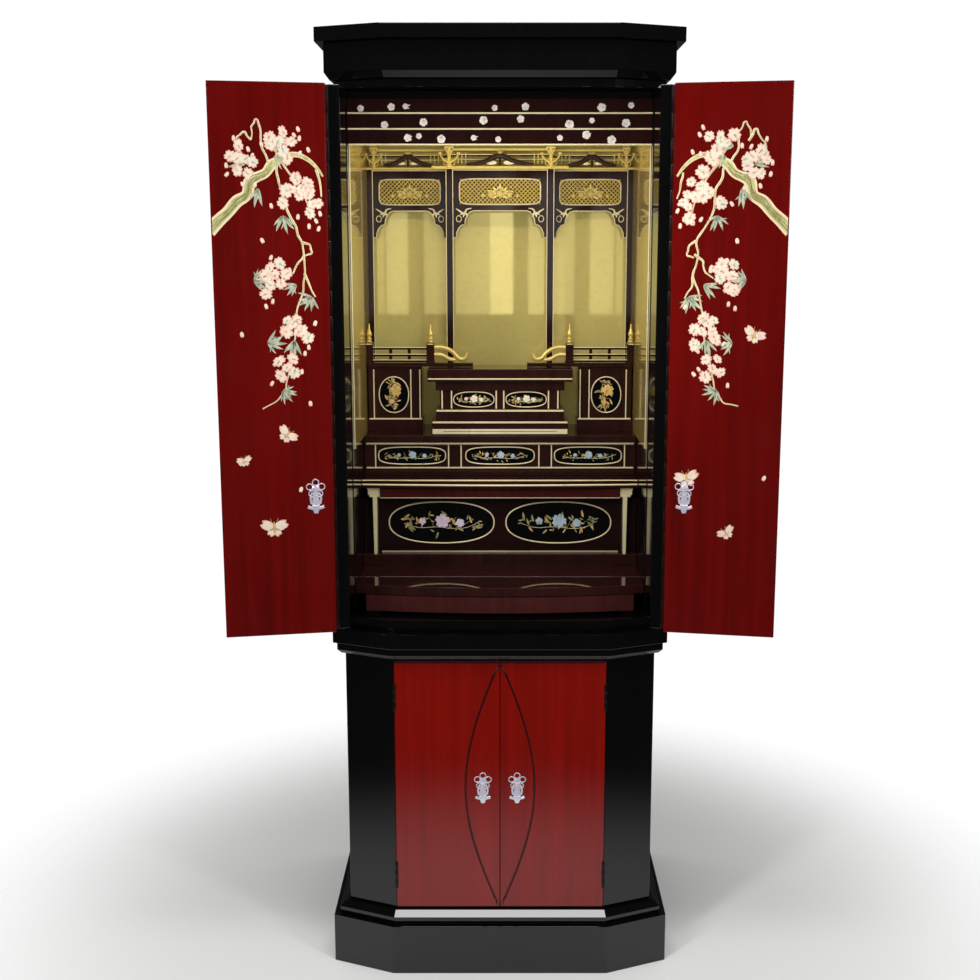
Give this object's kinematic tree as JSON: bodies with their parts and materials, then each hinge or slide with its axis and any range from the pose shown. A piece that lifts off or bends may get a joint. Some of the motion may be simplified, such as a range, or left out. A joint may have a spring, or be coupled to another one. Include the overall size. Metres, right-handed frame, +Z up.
{
  "type": "household altar cabinet",
  "caption": "Tall lacquered altar cabinet with folding inlaid doors over a gilt altar interior, a pull-out offering board and a cupboard below.",
  "frame": {"origin": "middle of the plinth's underside", "axes": "+X to the viewer's right, -Y towards the viewer, +Z up"},
  "size_m": [0.93, 0.5828, 1.6716],
  "materials": {
    "black_lacquer": "deep gloss black lacquer",
    "red_lacquer": "gloss dark red lacquer with inlay",
    "bright_red_lacquer": "gloss red lacquer over grain",
    "dark_wood": "satin dark reddish brown lacquer",
    "gold_leaf": "gold leaf on carved wood",
    "gilt_metal": "gilt metal",
    "cream_gilt": "pale gilt",
    "brown_slat": "satin brown wood",
    "silver_metal": "soft silver"
  },
  "bodies": {
    "cabinet": {"altar_floor": "dark_wood", "altar_step": "dark_wood", "base_moulding": "black_lacquer", "bracket_frieze": "gold_leaf", "centre_header": "dark_wood", "cornice": "black_lacquer", "frieze": "black_lacquer", "gold_back": "gold_leaf", "gold_ceiling": "gold_leaf", "head_rail": "black_lacquer", "left_header": "dark_wood", "left_inner_finial": "gilt_metal", "left_inner_pillar": "dark_wood", "left_lower_corner": "black_lacquer", "left_lower_side": "black_lacquer", "left_outer_finial": "gilt_metal", "left_outer_pillar": "dark_wood", "left_railing": "dark_wood", "left_shelf_post": "cream_gilt", "left_side_box": "dark_wood", "left_upper_side": "black_lacquer", "lower_back": "dark_wood", "lower_head_rail": "black_lacquer", "oval_panel": "dark_wood", "pedestal": "dark_wood", "plinth": "black_lacquer", "right_header": "dark_wood", "right_inner_finial": "gilt_metal", "right_inner_pillar": "dark_wood", "right_lower_corner": "black_lacquer", "right_lower_side": "black_lacquer", "right_outer_finial": "gilt_metal", "right_outer_pillar": "dark_wood", "right_railing": "dark_wood", "right_shelf_post": "cream_gilt", "right_side_box": "dark_wood", "right_upper_side": "black_lacquer", "shelf": "dark_wood", "slat_1": "brown_slat", "slat_2": "brown_slat", "slat_3": "brown_slat", "tier_front": "dark_wood", "tier_top": "dark_wood", "top_board": "black_lacquer", "upper_back": "dark_wood", "upper_floor": "black_lacquer", "waist_moulding": "black_lacquer"},
    "left_canted_leaf": {"left_canted_leaf": "black_lacquer"},
    "right_canted_leaf": {"right_canted_leaf": "black_lacquer"},
    "left_front_leaf": {"left_front_leaf": "red_lacquer", "left_upper_pull": "silver_metal"},
    "right_front_leaf": {"right_front_leaf": "red_lacquer", "right_upper_pull": "silver_metal"},
    "left_lower_door": {"left_lower_door": "bright_red_lacquer", "left_lower_pull": "silver_metal"},
    "right_lower_door": {"right_lower_door": "bright_red_lacquer", "right_lower_pull": "silver_metal"},
    "offering_board": {"offering_board": "dark_wood"}
  },
  "joints": [
    {"name": "left_canted_hinge", "type": "hinge", "parent": "cabinet", "child": "left_canted_leaf", "pos_m": [-0.279, -0.187, 1.1187], "axis": [0, 0, -1], "range_deg": [-66.83, 0]},
    {"name": "left_fold_hinge", "type": "hinge", "parent": "left_canted_leaf", "child": "left_front_leaf", "pos_m": [-0.279, -0.28377, 1.1187], "axis": [0, 0, -1], "range_deg": [-102.57, 0]},
    {"name": "left_lower_hinge", "type": "hinge", "parent": "cabinet", "child": "left_lower_door", "pos_m": [-0.1894, -0.225, 0.351], "axis": [0, 0, -1], "range_deg": [0, 100]},
    {"name": "right_canted_hinge", "type": "hinge", "parent": "cabinet", "child": "right_canted_leaf", "pos_m": [0.279, -0.187, 1.1187], "axis": [0, 0, 1], "range_deg": [-66.83, 0]},
    {"name": "right_fold_hinge", "type": "hinge", "parent": "right_canted_leaf", "child": "right_front_leaf", "pos_m": [0.279, -0.28377, 1.1187], "axis": [0, 0, 1], "range_deg": [-102.57, 0]},
    {"name": "right_lower_hinge", "type": "hinge", "parent": "cabinet", "child": "right_lower_door", "pos_m": [0.1894, -0.225, 0.351], "axis": [0, 0, 1], "range_deg": [0, 100]},
    {"name": "offering_board_slide", "type": "slide", "parent": "cabinet", "child": "offering_board", "axis": [0, -1, 0], "range_m": [0, 0.15]}
  ]
}
